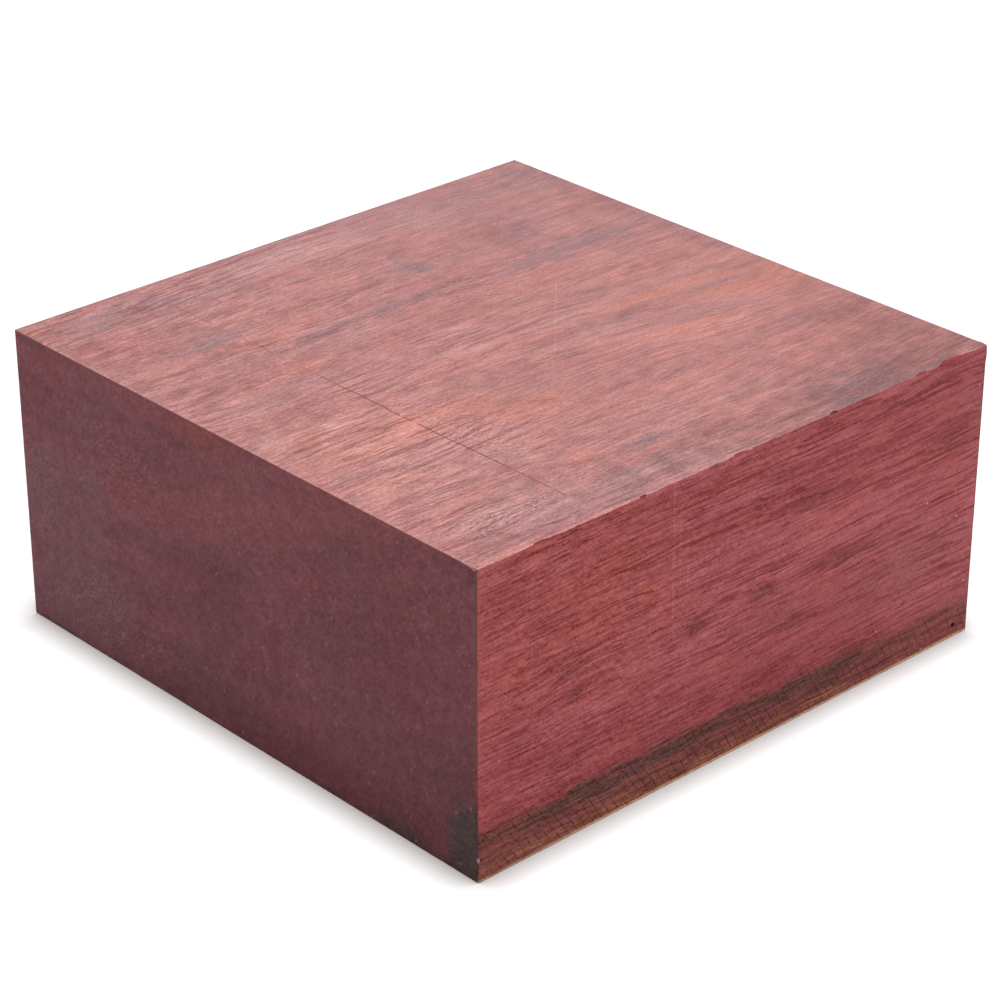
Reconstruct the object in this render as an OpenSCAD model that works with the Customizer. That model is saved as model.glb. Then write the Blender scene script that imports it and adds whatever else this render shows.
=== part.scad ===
// Wood turning blank: a square block of crimson-brown hardwood, sawn on six sides.
// Millimetres. The grain runs along X, the end grain is on the -X and +X faces, and the
// origin is the centre of the underside, with Z up.

/* [Blank] */
// Length of the blank along the grain
blank_length = 152; // [100:1:300]
// Width of the blank across the grain
blank_width = 152; // [100:1:300]
// Thickness of the blank
blank_thickness = 72; // [40:1:150]
// Width of the bevel that handling has worn on every arris
arris_bevel = 0.5; // [0.2:0.1:1.5]

/* [Knocked corner] */
// Distance from the front top corner to where the knock starts on each edge
knock_reach = 2.4; // [1.6:0.1:6]

/* [Tear-out on the front top arris] */
// Distance from the far end-grain face to the middle of the big tear-out
tearout_from_end = 12; // [10:1:30]
// Length of the big tear-out along the arris
tearout_length = 10; // [6:1:20]
// Depth of the big tear-out, square to the arris
tearout_depth = 0.8; // [0.6:0.1:2]

/* [Small chips on the front top arris] */
// Number of small chips between the front corner and the big tear-out
chip_count = 5; // [2:1:10]
// Distance from the front corner to the first small chip
chip_start = 17; // [8:1:25]
// Length of the longest small chip along the arris
chip_length = 5; // [2:0.5:8]
// Depth of the small chips, square to the arris
chip_depth = 0.5; // [0.3:0.1:1.2]

/* [Nick in the front upright arris] */
// Height of the nick above the underside
nick_height = 5.5; // [4:0.5:20]
// Length of the nick along the arris
nick_length = 1.3; // [1:0.1:4]
// Depth of the nick, square to the arris
nick_depth = 0.5; // [0.4:0.1:1.2]

/* [Layout line on top] */
// Distance from the front end-grain face to the line
line_from_end = 34; // [10:1:80]
// Distance from the front side face to the line's near end
line_near_margin = 11; // [5:0.5:30]
// Distance from the back side face to the line's far end
line_far_margin = 12.5; // [5:0.5:30]
// Width of the scored line
line_width = 0.35; // [0.2:0.05:1]
// Depth of the scored line
line_depth = 0.2; // [0.1:0.05:1]

/* [Insect pinhole] */
// Diameter of the pinhole in the front side face
pinhole_d = 1.2; // [0.6:0.1:3]
// Depth of the pinhole
pinhole_depth = 9; // [3:1:30]
// Distance from the far end-grain face to the pinhole
pinhole_from_end = 5; // [3:0.5:30]
// Height of the pinhole above the underside
pinhole_height = 3.1; // [2.6:0.1:20]

/* [Hidden] */
$fn = 96;

// Places of the faces
near_end = -blank_length / 2;
far_end = blank_length / 2;
front_side = -blank_width / 2;
back_side = blank_width / 2;

// How far a cutting tool starts outside the wood
overshoot = 1;

// Places of the small chips: even steps from the front corner to the big tear-out
chip_first = near_end + chip_start;
chip_last = far_end - tearout_from_end - tearout_length;
chip_step = (chip_last - chip_first) / (chip_count - 1);

// Length of small chip i: full and half length by turns, as torn fibres vary
function chip_size(i) = chip_length * (i % 2 == 0 ? 1 : 0.5);

// Radius of the round that leaves a scoop of a given length and depth
function scoop_radius(length, depth) = (length * length / 4 + depth * depth) / (2 * depth);

// A length-by-width bar, centred, with its four long arrises bevelled; it runs up from 0
module bevelled_bar(length, width, height) {
    x = length / 2;
    y = width / 2;
    b = arris_bevel;
    linear_extrude(height)
        polygon([
            [b - x, -y], [x - b, -y], [x, b - y], [x, y - b],
            [x - b, y], [b - x, y], [-x, y - b], [-x, b - y]
        ]);
}

// The sawn block: three bars at right angles, so that all twelve arrises are bevelled
module sawn_block() {
    intersection() {
        bevelled_bar(blank_length, blank_width, blank_thickness);
        translate([near_end, 0, blank_thickness / 2])
            rotate([0, 90, 0])
                bevelled_bar(blank_thickness, blank_width, blank_length);
        translate([0, back_side, blank_thickness / 2])
            rotate([90, 0, 0])
                bevelled_bar(blank_length, blank_thickness, blank_width);
    }
}

// The wood lost from the knocked corner: a flat facet that faces along the corner's diagonal
module corner_knock() {
    facet = 2 * knock_reach;
    tilt = acos(1 / sqrt(3));
    inset = knock_reach / sqrt(3);
    translate([near_end, front_side, blank_thickness])
        rotate([0, 0, 225])
            rotate([0, tilt, 0])
                translate([-facet, -facet, -inset])
                    cube([2 * facet, 2 * facet, facet]);
}

// A scoop whose deepest point is depth below the origin, with its hollow facing +Z
module scoop(length, depth) {
    radius = scoop_radius(length, depth);
    translate([0, 0, radius - depth])
        sphere(radius);
}

// A scoop in the front top arris, at a place along the grain
module top_arris_chip(along, length, depth) {
    translate([along, front_side, blank_thickness])
        rotate([45, 0, 0])
            scoop(length, depth);
}

// A scoop in the front upright arris
module upright_nick() {
    translate([near_end, front_side, nick_height])
        rotate([0, 0, 225])
            rotate([0, 90, 0])
                scoop(nick_length, nick_depth);
}

// The line scored across the grain on top
module layout_line() {
    run = blank_width - line_near_margin - line_far_margin;
    translate([
        near_end + line_from_end - line_width / 2,
        front_side + line_near_margin,
        blank_thickness - line_depth
    ])
        cube([line_width, run, line_depth + overshoot]);
}

// The blind round hole that a beetle left in the front side face
module pinhole() {
    translate([far_end - pinhole_from_end, front_side - overshoot, pinhole_height])
        rotate([-90, 0, 0])
            cylinder(h = pinhole_depth + overshoot, d = pinhole_d);
}

module turning_blank() {
    color([0.56, 0.28, 0.28])
        difference() {
            sawn_block();
            corner_knock();
            top_arris_chip(far_end - tearout_from_end, tearout_length, tearout_depth);
            for (i = [0 : chip_count - 1])
                top_arris_chip(chip_first + i * chip_step, chip_size(i), chip_depth);
            upright_nick();
            layout_line();
            pinhole();
        }
}

turning_blank();
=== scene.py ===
"""Dresses the wood turning blank: a square block of crimson hardwood, sawn, handled and waxed on its ends.

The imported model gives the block's size and place. The block is modelled again with its worn arrises,
warped faces, torn chips, scored layout line and beetle hole, and takes one finish for each kind of face.
All lengths are metres, except where a docstring says millimetres: the finishes and the shapes that wear
and tools have taken out follow the timber's figure, which is measured in millimetres.
"""

from __future__ import annotations

import logging
import math
from collections.abc import Iterator
from contextlib import contextmanager
from dataclasses import dataclass, field
from enum import Enum
from functools import partial

import bpy
import numpy as np
from mathutils import Matrix, Vector

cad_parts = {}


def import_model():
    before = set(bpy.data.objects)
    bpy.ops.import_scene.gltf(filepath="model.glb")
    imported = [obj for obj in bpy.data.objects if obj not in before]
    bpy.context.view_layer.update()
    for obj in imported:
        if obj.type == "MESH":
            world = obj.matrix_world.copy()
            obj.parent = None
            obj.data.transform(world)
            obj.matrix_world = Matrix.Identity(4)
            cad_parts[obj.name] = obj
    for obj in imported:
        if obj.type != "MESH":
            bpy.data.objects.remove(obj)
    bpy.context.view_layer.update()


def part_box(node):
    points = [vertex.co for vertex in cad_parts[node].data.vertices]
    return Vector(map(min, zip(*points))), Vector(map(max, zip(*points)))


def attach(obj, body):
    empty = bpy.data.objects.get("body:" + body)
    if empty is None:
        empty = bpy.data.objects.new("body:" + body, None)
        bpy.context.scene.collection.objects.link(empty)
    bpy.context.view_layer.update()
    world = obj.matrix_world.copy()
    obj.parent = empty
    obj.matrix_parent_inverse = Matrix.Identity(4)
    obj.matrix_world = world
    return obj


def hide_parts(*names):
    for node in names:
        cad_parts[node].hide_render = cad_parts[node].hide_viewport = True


LOG = logging.getLogger("turning_blank")
NODE = "turning_blank"
MM = 0.001


# ---- Colours and node sketching ----


@dataclass(frozen=True)
class Tone:
    """A paint-chart colour, 0 to 255 in each channel as the eye reads it."""

    red: float
    green: float
    blue: float

    @property
    def linear(self) -> tuple[float, float, float, float]:
        """The same colour in the light-proportional numbers that shaders use."""
        return (*(self._to_light(part / 255) for part in (self.red, self.green, self.blue)), 1.0)

    @staticmethod
    def _to_light(part: float) -> float:
        """Undo the display curve for one channel."""
        return part / 12.92 if part <= 0.04045 else ((part + 0.055) / 1.055) ** 2.4


@dataclass(frozen=True)
class Signal:
    """One outlet of a node sketch, with the arithmetic that shapes it."""

    sketch: "Sketch"
    outlet: bpy.types.NodeSocket

    def __add__(self, other: "Signal | float") -> "Signal":
        """Sum of two signals."""
        return self.sketch.math("ADD", self, other)

    def __sub__(self, other: "Signal | float") -> "Signal":
        """This signal less the other."""
        return self.sketch.math("SUBTRACT", self, other)

    def __mul__(self, other: "Signal | float") -> "Signal":
        """Product of two signals."""
        return self.sketch.math("MULTIPLY", self, other)

    def over(self, other: "Signal | float") -> "Signal":
        """The larger of two signals at each place."""
        return self.sketch.math("MAXIMUM", self, other)

    def under(self, other: "Signal | float") -> "Signal":
        """The smaller of two signals at each place."""
        return self.sketch.math("MINIMUM", self, other)

    def size(self) -> "Signal":
        """This signal without its sign."""
        return self.sketch.math("ABSOLUTE", self)

    def swing(self, reach: float) -> "Signal":
        """A cloudy signal round 0.5 turned into a swing round nought, as wide as the reach each way."""
        return (self - 0.5) * (2.0 * reach)

    def span(self, low: float, high: float, out_low: float = 0.0, out_high: float = 1.0) -> "Signal":
        """Ease this signal from out_low to out_high as it goes from low to high.

        Args:
            low: Value that gives out_low.
            high: Value that gives out_high.
            out_low: Result at and beyond low.
            out_high: Result at and beyond high.

        Returns:
            The eased signal.
        """
        inputs = {"Value": self, "From Min": low, "From Max": high, "To Min": out_low, "To Max": out_high}
        return self.sketch.wired("ShaderNodeMapRange", inputs, interpolation_type="SMOOTHSTEP")


class Sketch:
    """Lays nodes into one tree and hands back their outlets as signals."""

    rows = 8
    pitch = (200.0, -180.0)

    def __init__(self, tree: bpy.types.NodeTree) -> None:
        """Start in an empty tree.

        Args:
            tree: The material's, world's or group's node tree.
        """
        self.tree = tree
        tree.nodes.clear()

    def add(self, kind: str, **settings: object) -> bpy.types.Node:
        """Add a node, set its options and place it in a tidy grid.

        Args:
            kind: Blender's name for the node type.
            **settings: Options to set on the node.

        Returns:
            The new node.
        """
        node = self.tree.nodes.new(kind)
        for name, value in settings.items():
            setattr(node, name, value)
        column, row = divmod(len(self.tree.nodes), self.rows)
        node.location = (self.pitch[0] * column, self.pitch[1] * row)
        return node

    def feed(self, socket: bpy.types.NodeSocket, value: object) -> None:
        """Link a signal to a socket, or set the socket's own value.

        Args:
            socket: Input of a node.
            value: A signal, a tone, a number or a tuple of numbers.
        """
        if isinstance(value, Signal):
            self.tree.links.new(value.outlet, socket)
        else:
            socket.default_value = value.linear if isinstance(value, Tone) else value

    def wired(self, kind: str, inputs: dict, outlet: int | str = 0, **settings: object) -> Signal:
        """Add a node and feed its inputs.

        Args:
            kind: Blender's name for the node type.
            inputs: What each input takes, by its name or number.
            outlet: Name or number of the outlet that is wanted.
            **settings: Options to set on the node.

        Returns:
            The outlet.
        """
        node = self.add(kind, **settings)
        for name, value in inputs.items():
            self.feed(node.inputs[name], value)
        return Signal(self, node.outputs[outlet])

    def surface(self, kind: str, shader: Signal) -> None:
        """End the sketch in an output node of a material or a world."""
        self.feed(self.add(kind).inputs["Surface"], shader)

    def math(self, operation: str, first: Signal | float, second: Signal | float = 0.0) -> Signal:
        """Work out one sum, product or function of numbers."""
        return self.wired("ShaderNodeMath", {0: first, 1: second}, operation=operation)

    def vector_math(self, operation: str, first: object, second: object = (0.0, 0.0, 0.0)) -> Signal:
        """Work out one sum, product or length of vectors."""
        outlet = "Value" if operation == "LENGTH" else "Vector"
        return self.wired("ShaderNodeVectorMath", {0: first, 1: second}, outlet, operation=operation)

    def scaled(self, vector: Signal, factor: Signal | float) -> Signal:
        """Multiply a vector or a colour by one number."""
        return self.wired("ShaderNodeVectorMath", {0: vector, "Scale": factor}, operation="SCALE")

    def mapped(self, place: Signal, move: tuple, turn: float = 0.0, size: tuple = (1, 1, 1)) -> Signal:
        """Measure a place in a local frame: moved to a centre, turned about Z and sized.

        Args:
            place: Position signal.
            move: Centre of the local frame.
            turn: Turn about Z in degrees.
            size: Length that counts as one along each local axis.

        Returns:
            The place in the local frame.
        """
        rotation = (0.0, 0.0, math.radians(turn))
        inputs = {"Vector": place, "Location": move, "Rotation": rotation, "Scale": size}
        return self.wired("ShaderNodeMapping", inputs, vector_type="TEXTURE")

    def noise(self, place: Signal, size: tuple, detail: float = 2.0, rough: float = 0.5, seed: float = 0.0,
              outlet: str = "Fac") -> Signal:
        """A cloudy signal round 0.5 whose blobs have a given size along each axis.

        Args:
            place: Position signal.
            size: Blob size along X, Y and Z.
            detail: Number of finer layers.
            rough: Strength of each finer layer.
            seed: Moves the pattern, so that two noises differ.
            outlet: Fac for one number, Color for three separate ones.

        Returns:
            The noise signal.
        """
        spot = self.mapped(place, (seed * size[0], seed * 1.7 * size[1], seed * 2.3 * size[2]), 0.0, size)
        inputs = {"Vector": spot, "Scale": 1.0, "Detail": detail, "Roughness": rough}
        return self.wired("ShaderNodeTexNoise", inputs, outlet)

    def flecks(self, place: Signal, cell: tuple, reach: float, share: float, seed: float = 0.0) -> Signal:
        """Scattered small flecks, at most one in each cell.

        Args:
            place: Position signal.
            cell: Size of a cell along X, Y and Z; a fleck has the same proportions.
            reach: Half size of a fleck as a share of its cell.
            share: How many of the cells hold a fleck.
            seed: Moves the pattern.

        Returns:
            The mask of the flecks.
        """
        spot = self.mapped(place, (seed * cell[0], seed * cell[1], seed), 0.0, cell)
        colour = self.wired("ShaderNodeTexVoronoi", {"Vector": spot, "Scale": 1.0}, "Color")
        shape = Signal(self, colour.outlet.node.outputs["Distance"]).span(reach, reach * 0.4)
        return shape * self.parts(colour)[0].span(1.0 - share, 1.0 - share * 0.6)

    def closeness(self, place: Signal) -> Signal:
        """One where a place is at its origin, falling steadily to nought at a distance of one."""
        return self.wired("ShaderNodeTexGradient", {"Vector": place}, "Fac", gradient_type="SPHERICAL")

    def parts(self, vector: Signal) -> tuple[Signal, Signal, Signal]:
        """Split a vector into X, Y and Z."""
        first = self.wired("ShaderNodeSeparateXYZ", {0: vector})
        return tuple(Signal(self, outlet) for outlet in first.outlet.node.outputs)

    def joined(self, first: object, second: object, third: object = 0.0) -> Signal:
        """Join three numbers into one vector."""
        return self.wired("ShaderNodeCombineXYZ", {0: first, 1: second, 2: third})

    def shaded(self, colour: Signal, factor: Signal, haze: float = 0.0) -> Signal:
        """Make a colour lighter or darker by a factor.

        Args:
            colour: The colour.
            factor: One where the colour stays as it is.
            haze: Grey light that comes and goes with the factor, so that fine detail loses its hue.

        Returns:
            The shaded colour.
        """
        result = self.scaled(colour, factor)
        if haze:
            result = self.vector_math("ADD", result, (factor - 1.0) * haze)
            result = self.vector_math("MAXIMUM", result, (0.002, 0.002, 0.002))
        return result

    def blend(self, share: Signal | float, under: object, over: object) -> Signal:
        """Lay one colour over another by the share of it that shows."""
        inputs = {0: share, 6: under, 7: over}
        return self.wired("ShaderNodeMix", inputs, 2, data_type="RGBA", clamp_factor=True)

    def coats(self, colour: Signal | Tone, *coats: tuple[Signal | float, object]) -> Signal:
        """Lay several colours over one another.

        Args:
            colour: The lowest colour.
            *coats: For each further colour, the share of it that shows, and the colour.

        Returns:
            The mixed colour.
        """
        for share, tone in coats:
            colour = self.blend(share, colour, tone)
        return colour


def sketch_of(holder: bpy.types.Material | bpy.types.World) -> Sketch:
    """Turn on the nodes of a material or a world and start a sketch in them."""
    holder.use_nodes = True
    return Sketch(holder.node_tree)


# ---- The timber's own figure ----


@dataclass(frozen=True)
class Timber:
    """The figure that runs through the whole block, so that it meets at every arris. Millimetres.

    The heartwood's rim is a cylinder round the pith, which lies above the block and drops a little along
    it. A bend is a pair of pushes, across and up, with the length of a bend along each axis.
    """

    half: tuple[float, float, float]
    middle_z: float
    pith_y: float = 74.0
    pith_z: float = 297.0
    heart_radius: float = 322.4
    taper: float = 0.012
    sweep: tuple = (4.5, 2.6)
    sweep_size: tuple = (70.0, 36.0, 36.0)
    curl: tuple = (0.9, 0.3)
    curl_size: tuple = (10.0, 5.0, 5.0)
    ripple: tuple = (0.25, 0.05)
    ripple_size: tuple = (4.0, 2.0, 2.0)
    swerve: float = 11.0
    swerve_y: float = -16.0
    swerve_width: float = 34.0

    def group(self) -> bpy.types.NodeTree:
        """Build the figure as a node group.

        Returns:
            A group with the plain place, the place in the tree (along, around and outward), the depth
            beyond the heartwood, the distance to the nearest arris, and the cloudy signals of the grain.
        """
        sketch = Sketch(bpy.data.node_groups.new("timber figure", "ShaderNodeTree"))
        place = sketch.scaled(sketch.wired("ShaderNodeTexCoord", {}, "Object"), 1 / MM)
        bent = self._bent(sketch, self._swerved(sketch, place), self.sweep, self.sweep_size, 2.0, 3.1)
        bent = self._bent(sketch, bent, self.curl, self.curl_size, 1.0, 8.4)
        bent = self._bent(sketch, bent, self.ripple, self.ripple_size, 0.0, 5.2)
        tree = self._tree_place(sketch, bent)
        outward = sketch.parts(self._tree_place(sketch, place))[2]
        results = {
            "Place": place,
            "Tree": tree,
            "Beyond": outward - sketch.parts(place)[0] * self.taper,
            "Arris": self._arris_distance(sketch, place),
        }
        for label, spot, *shape in (
            ("Layers", tree, (70.0, 12.0, 3.2), 2.0, 0.6, 1.0),
            ("Streaks", tree, (22.0, 2.4, 1.4), 2.0, 0.6, 2.0),
            ("Fibres", tree, (8.0, 0.62, 0.5), 2.0, 0.65, 3.0),
            ("Lines", tree, (19.0, 1.25, 0.55), 1.0, 0.5, 4.0),
            ("Grit", place, (0.75, 0.5, 0.5), 1.0, 0.6, 5.0),
            ("Mottle", place, (5.0, 3.4, 3.4), 2.0, 0.6, 8.0),
            ("Clouds", place, (34.0, 26.0, 20.0), 2.0, 0.6, 9.0),
            ("Warm", tree, (45.0, 16.0, 7.0), 2.0, 0.6, 6.0),
            ("Cool", tree, (50.0, 9.0, 4.0), 2.0, 0.6, 7.0),
        ):
            results[label] = sketch.noise(spot, *shape)
        for label in results:
            kind = "NodeSocketVector" if label in ("Place", "Tree") else "NodeSocketFloat"
            sketch.tree.interface.new_socket(label, in_out="OUTPUT", socket_type=kind)
        end = sketch.add("NodeGroupOutput")
        for label, signal in results.items():
            sketch.feed(end.inputs[label], signal)
        return sketch.tree

    def _swerved(self, sketch: Sketch, place: Signal) -> Signal:
        """Let the fibres swing aside towards the far end, as they do round a branch that has grown over.

        Args:
            sketch: Sketch to add the nodes to.
            place: Place in the block.

        Returns:
            The place, pushed across.
        """
        along, across, _ = sketch.parts(place)
        near = (across - self.swerve_y).size().span(self.swerve_width, 0.0)
        push = along.span(0.0, self.half[0], 0.0, self.swerve) * near
        return sketch.vector_math("ADD", place, sketch.joined(0.0, push))

    @staticmethod
    def _bent(sketch: Sketch, place: Signal, reach: tuple, size: tuple, detail: float,
              seed: float) -> Signal:
        """Push a place about across the grain, so that straight fibres wander.

        Args:
            sketch: Sketch to add the nodes to.
            place: Place in the block.
            reach: Greatest push along Y and along Z.
            size: Length of a bend along each axis.
            detail: Number of finer bends.
            seed: Moves the bends.

        Returns:
            The pushed place.
        """
        across, up = reach
        clouds = sketch.noise(place, size, detail, seed=seed, outlet="Color")
        swing = sketch.vector_math("SUBTRACT", clouds, (0.5, 0.5, 0.5))
        push = sketch.vector_math("MULTIPLY", swing, (0.0, 2 * across, 2 * up))
        return sketch.vector_math("ADD", place, push)

    def _tree_place(self, sketch: Sketch, place: Signal) -> Signal:
        """Measure a place along the trunk, around its growth layers and outward from the heartwood's rim.

        Args:
            sketch: Sketch to add the nodes to.
            place: Place in the block.

        Returns:
            The place in the tree.
        """
        from_pith = sketch.vector_math("SUBTRACT", place, (0.0, self.pith_y, self.pith_z))
        along, across, up = sketch.parts(from_pith)
        radius = sketch.vector_math("LENGTH", sketch.joined(0.0, across, up))
        around = sketch.math("ARCTAN2", across, up * -1.0) * self.heart_radius
        return sketch.joined(along, around, radius - self.heart_radius)

    def _arris_distance(self, sketch: Sketch, place: Signal) -> Signal:
        """Distance from a place on the surface to the nearest arris: the middle one of three gaps.

        Args:
            sketch: Sketch to add the nodes to.
            place: Place in the block.

        Returns:
            The distance.
        """
        centred = sketch.vector_math("SUBTRACT", place, (0.0, 0.0, self.middle_z))
        gaps = (part.size() * -1.0 + half for part, half in zip(sketch.parts(centred), self.half))
        first, second, third = gaps
        return first.under(second).over(first.over(second).under(third))


@dataclass(frozen=True)
class Blot:
    """A soft oval stain or patch on one face. Millimetres from the face's middle, turn in degrees.

    Its strength fades over the soft share of its half size.
    """

    across: float
    up: float
    long: float
    tall: float
    strength: float = 1.0
    turn: float = 0.0
    soft: float = 1.0


@dataclass(frozen=True)
class Scratch:
    """A straight scratch on one face, from one point to another. Millimetres from the face's middle."""

    start: tuple[float, float]
    end: tuple[float, float]
    width: float
    strength: float


def blot_mask(sketch: Sketch, spot: Signal, fray: Signal, blots: tuple[Blot, ...]) -> Signal:
    """Mask of a list of blots, each fading from its middle to a frayed rim.

    Args:
        sketch: Sketch to add the nodes to.
        spot: Place on the face, with the face's own axes as X and Y.
        fray: Swing round nought that pushes every rim in and out.
        blots: The blots.

    Returns:
        The strongest blot at each place.
    """
    total: Signal | None = None
    for blot in blots:
        local = sketch.mapped(spot, (blot.across, blot.up, 0.0), blot.turn, (blot.long, blot.tall, 1.0))
        inward = sketch.closeness(local) * 2.0 - fray
        one = inward.span(0.9, 0.9 + blot.soft, 0.0, blot.strength)
        total = total.over(one) if total else one
    return total


def scratch_mask(sketch: Sketch, spot: Signal, scratches: tuple[Scratch, ...]) -> Signal:
    """Mask of a list of straight scratches.

    Args:
        sketch: Sketch to add the nodes to.
        spot: Place on the face, with the face's own axes as X and Y.
        scratches: The scratches.

    Returns:
        The strongest scratch at each place.
    """
    total: Signal | None = None
    for mark in scratches:
        run = Vector(mark.end) - Vector(mark.start)
        middle = (Vector(mark.end) + Vector(mark.start)) / 2
        turn = math.degrees(math.atan2(run.y, run.x))
        local = sketch.mapped(spot, (middle.x, middle.y, 0.0), turn, (run.length / 2, mark.width, 1.0))
        along, beside, _ = sketch.parts(local)
        one = along.size().span(1.0, 0.8) * beside.size().span(1.0, 0.0, 0.0, mark.strength)
        total = total.over(one) if total else one
    return total


# ---- Finishes ----


class Finish:
    """One surface finish of the block, made as a material on the timber's figure. Millimetres."""

    name: str
    specular: float
    ior = 1.45

    def __init__(self, figure: bpy.types.NodeTree, middle_z: float) -> None:
        """Start the material and take up the timber's signals.

        Args:
            figure: The timber's node group, which every finish shares.
            middle_z: Height of the block's middle.
        """
        self.material = bpy.data.materials.new(self.name)
        self.sketch = sketch_of(self.material)
        group = self.sketch.add("ShaderNodeGroup", node_tree=figure)
        self.timber = {outlet.name: Signal(self.sketch, outlet) for outlet in group.outputs}
        self.place = self.timber["Place"]
        self.along, self.across, self.up = self.sketch.parts(self.place)
        self.middle = (0.0, 0.0, middle_z)

    def laid(self) -> bpy.types.Material:
        """Lay the whole finish and close the material.

        Returns:
            The finished material.
        """
        sketch = self.sketch
        colour, roughness, height = self.lay()
        normal = sketch.wired("ShaderNodeBump", {"Strength": 1.0, "Distance": MM, "Height": height})
        inputs = {"Base Color": colour, "Roughness": roughness, "Normal": normal, "IOR": self.ior}
        inputs["Specular IOR Level"] = self.specular
        sketch.surface("ShaderNodeOutputMaterial", sketch.wired("ShaderNodeBsdfPrincipled", inputs))
        return self.material

    def lay(self) -> tuple[Signal, Signal, Signal]:
        """Lay the face from its lowest colour to its finest marks, as colour, roughness and height."""
        raise NotImplementedError

    def from_middle(self) -> tuple[Signal, Signal, Signal]:
        """Distances from the block's middle along X, Y and Z."""
        return self.sketch.parts(self.sketch.vector_math("SUBTRACT", self.place, self.middle))

    def raised_with_painted_light(self, place: Signal, size: tuple, away: tuple) -> Signal:
        """Grain that stands up a little, with painted light and shade as if lit from one side: a cloudy
        signal less itself moved away.

        Args:
            place: Place to lay it by.
            size: Size of its blobs.
            away: How far the second reading is moved.

        Returns:
            A swing round nought, up to about one.
        """
        moved = self.sketch.vector_math("ADD", place, away)
        first, second = (self.sketch.noise(spot, size, 1.0, 0.6, 15.0) for spot in (place, moved))
        return (first - second) * 2.0


@dataclass(frozen=True)
class SawnPalette:
    """Colours of freshly sawn, bare crimson hardwood."""

    crimson: Tone = Tone(156, 74, 76)
    rose: Tone = Tone(173, 91, 95)
    russet: Tone = Tone(166, 79, 70)
    wine: Tone = Tone(134, 57, 61)
    deep: Tone = Tone(122, 58, 60)
    vein: Tone = Tone(108, 34, 38)
    umber: Tone = Tone(76, 48, 42)
    brown: Tone = Tone(123, 67, 59)
    tan: Tone = Tone(146, 88, 65)
    hatch: Tone = Tone(70, 38, 35)
    faded: Tone = Tone(144, 80, 83)
    cream: Tone = Tone(222, 178, 144)
    amber: Tone = Tone(168, 86, 74)
    pale: Tone = Tone(206, 150, 146)
    plum: Tone = Tone(92, 50, 54)


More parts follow.
